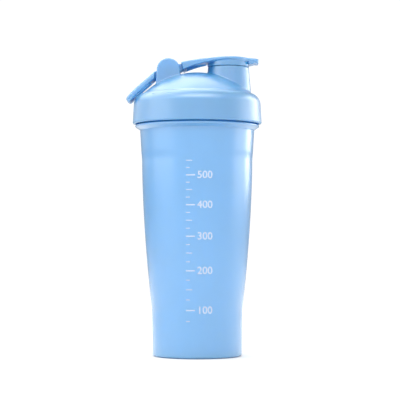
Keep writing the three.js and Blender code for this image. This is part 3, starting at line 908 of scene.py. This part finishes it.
def make_plug():
    """The soft cup-shaped plug that closes the spout's bore."""
    top, pocket = cap_under(SPOUT_X + PLUG_RADIUS) - GAP, BOSS_BOTTOM - GAP
    points, faces = capped([
        *line([0.3, PLUG_BOTTOM], [PLUG_RADIUS - 1.7, PLUG_BOTTOM], 6),
        *arc(PLUG_RADIUS - 1.7, PLUG_BOTTOM + 0.7, 0.7, 270, 315, 4),
        *arc(PLUG_RADIUS - 0.7, PLUG_BOTTOM + 1.7, 0.7, 315, 360, 4),
        *line([PLUG_RADIUS, PLUG_BOTTOM + 2.2], [PLUG_RADIUS, top - 1.1], 5),
        *arc(PLUG_RADIUS - 0.9, top - 0.9, 0.9, 0, 90, 6),
        *arc(PLUG_BORE + 0.4, top - 0.4, 0.4, 90, 180, 4),
        *line([PLUG_BORE, top - 0.8], [PLUG_BORE, pocket + 0.3], 5),
        *arc(PLUG_BORE - 0.3, pocket + 0.3, 0.3, 0, -90, 3),
        *line([PLUG_BORE - 1.0, pocket], [0.3, pocket], 3),
        [0.3, pocket],
    ], 96, PLUG_BOTTOM, pocket)
    points[:, 0] += SPOUT_X
    return add_mesh("plug_cup", points, faces, plug_silicone)


def make_pin():
    low, high = GAP - EAR_INNER - BLIND_DEPTH, EAR_OUTER - 0.1
    points, faces = capped([
        *line([0.2, low], [PIN_RADIUS - 0.5, low], 3),
        *arc(PIN_RADIUS - 0.4, low + 0.4, 0.4, 270, 360, 5),
        *line([PIN_RADIUS, low + 0.8], [PIN_RADIUS, high - 0.6], 12),
        *arc(PIN_RADIUS - 0.4, high - 0.4, 0.4, 0, 90, 5),
        *line([PIN_RADIUS - 0.6, high], [0.2, high], 3),
        [0.2, high],
    ], 64, low, high)
    x, y, z = points.T
    return add_mesh("pin_rod", np.stack([x + PIVOT_X, z, PIVOT_Z - y], axis=1), faces, pin_steel)


def wire_end(centre, ahead, circle, angles):
    """Rings that round the wire over at one of its ends."""
    return [centre + WIRE_RADIUS * (math.cos(a) * ahead + math.sin(a) * circle) for a in angles]


def make_whisk():
    """One round wire wound in level turns, its two ends rounded over."""
    radius, sides = BALL_RADIUS - WIRE_RADIUS, 14
    centre = FLOOR_TOP + GAP + BALL_RADIUS
    turns = 2 * BALL_POLE * radius / BALL_PITCH
    t = np.linspace(0, 1, int(turns * 88) + 1)
    level, angle = BALL_POLE * (2 * t - 1), TAU * turns * t
    out = np.sqrt(1 - level**2)
    outward = np.stack([out * np.cos(angle), out * np.sin(angle), level], axis=1)
    path = radius * outward + [0, 0, centre]
    forward = np.gradient(path, axis=0)
    forward /= np.linalg.norm(forward, axis=1, keepdims=True)
    sideways = np.cross(forward, outward)
    spread = np.arange(sides) * TAU / sides
    circle = np.cos(spread)[None, :, None] * outward[:, None]
    circle += np.sin(spread)[None, :, None] * sideways[:, None]
    tips = np.radians(np.linspace(10, 80, 6))
    rings = wire_end(path[0], -forward[0], circle[0], tips)
    rings += list(path[:, None] + WIRE_RADIUS * circle)
    rings += wire_end(path[-1], forward[-1], circle[-1], tips[::-1])
    ends = [path[0] - WIRE_RADIUS * forward[0], path[-1] + WIRE_RADIUS * forward[-1]]
    points = np.vstack([*rings, *[end[None] for end in ends]])
    last = (len(rings) - 1) * sides
    faces = []
    for i in range(sides):
        j = (i + 1) % sides
        faces += [[row + i, row + j, row + sides + j, row + sides + i] for row in range(0, last, sides)]
        faces.append([last + sides, j, i])
        faces.append([last + sides + 1, last + i, last + j])
    return add_mesh("whisk_wire", points, faces, whisk_steel)


rides(make_gasket(), "seal_body", "lid_seal")
rides(make_plug(), "cap_body", "spout_seal")
rides(make_pin(), "lid_body", "hinge_pin")
rides(make_whisk(), "ball_body", "whisk_ball")

# ---- Studio --------------------------------------------------------------------------------

FLOOR_HALF = 0.8
FLOOR_LEVEL = -0.0002
ROOM_FRONT = 1.2
ROOM_BACK = 0.42
FADE_START = -0.6
FADE_END = 0.9
BACKDROP = 1.06
CAMERA_PLACE = (0.00208, -1.1, 0.086)
CAMERA_TILT = 1.515
CAMERA_ANGLE = 15.35


def make_floor():
    half, z = FLOOR_HALF, FLOOR_LEVEL
    mesh = bpy.data.meshes.new("studio_floor")
    corners = [(-half, -half, z), (half, -half, z), (half, half, z), (-half, half, z)]
    mesh.from_pydata(corners, [], [(0, 1, 2, 3)])
    mesh.materials.append(floor_paint("floor_paint"))
    floor = bpy.data.objects.new("studio_floor", mesh)
    bpy.context.scene.collection.objects.link(floor)


def softbox(name, place, target, width, height, watts):
    light = bpy.data.lights.new(name, "AREA")
    light.shape = "RECTANGLE"
    light.size, light.size_y = width, height
    light.energy = watts
    lamp = bpy.data.objects.new(name, light)
    bpy.context.scene.collection.objects.link(lamp)
    lamp.location = place
    lamp.rotation_euler = (Vector(target) - Vector(place)).to_track_quat("-Z", "Y").to_euler()


def make_world():
    """A white room, dimmer towards the back; the camera itself sees plain white behind the bottle."""
    world = bpy.data.worlds.new("white_room")
    world.use_nodes = True
    nodes, links = world.node_tree.nodes, world.node_tree.links
    where = nodes.new("ShaderNodeTexCoord")
    axes = nodes.new("ShaderNodeSeparateXYZ")
    links.new(where.outputs["Generated"], axes.inputs["Vector"])
    room = nodes.new("ShaderNodeMapRange")
    room.interpolation_type = "SMOOTHSTEP"
    fade = {"From Min": FADE_START, "From Max": FADE_END, "To Min": ROOM_FRONT, "To Max": ROOM_BACK}
    for socket, value in fade.items():
        room.inputs[socket].default_value = value
    links.new(axes.outputs["Y"], room.inputs["Value"])
    seen = nodes.new("ShaderNodeMath")
    seen.operation = "MULTIPLY"
    links.new(nodes.new("ShaderNodeLightPath").outputs["Is Camera Ray"], seen.inputs[0])
    seen.inputs[1].default_value = BACKDROP
    brighter = nodes.new("ShaderNodeMath")
    brighter.operation = "MAXIMUM"
    links.new(room.outputs["Result"], brighter.inputs[0])
    links.new(seen.outputs[0], brighter.inputs[1])
    background = nodes["Background"]
    background.inputs["Color"].default_value = (1.0, 1.0, 1.0, 1.0)
    links.new(brighter.outputs[0], background.inputs["Strength"])
    bpy.context.scene.world = world


def make_camera():
    camera = bpy.data.cameras.new("camera")
    camera.sensor_width = 36.0
    camera.angle = math.radians(CAMERA_ANGLE)
    camera.clip_start, camera.clip_end = 0.05, 30.0
    holder = bpy.data.objects.new("camera", camera)
    bpy.context.scene.collection.objects.link(holder)
    holder.location = CAMERA_PLACE
    holder.rotation_euler = (math.radians(90 + CAMERA_TILT), 0, 0)
    bpy.context.scene.camera = holder


make_floor()
make_world()
softbox("top", (-0.3, 0.5, 1.12), (0, 0, 0.1), 1.7, 1.0, 13.0)
softbox("key", (-1.2, -0.3, 0.6), (0, 0, 0.12), 1.4, 0.9, 5.0)
softbox("strip", (0.68, 0.5, 0.44), (0, 0, 0.44), 0.3, 0.6, 2.8)
softbox("floor_light", (0, -0.6, 0.8), (0, -0.45, 0), 0.9, 0.4, 4.5)
softbox("side", (0.84, 0.1, 0.38), (0, 0, 0.38), 0.5, 0.6, 1.2)
softbox("rim", (-0.72, 0.6, 0.5), (0, 0, 0.5), 0.5, 0.6, 1.0)
make_camera()
bpy.context.scene.view_settings.view_transform = "Standard"
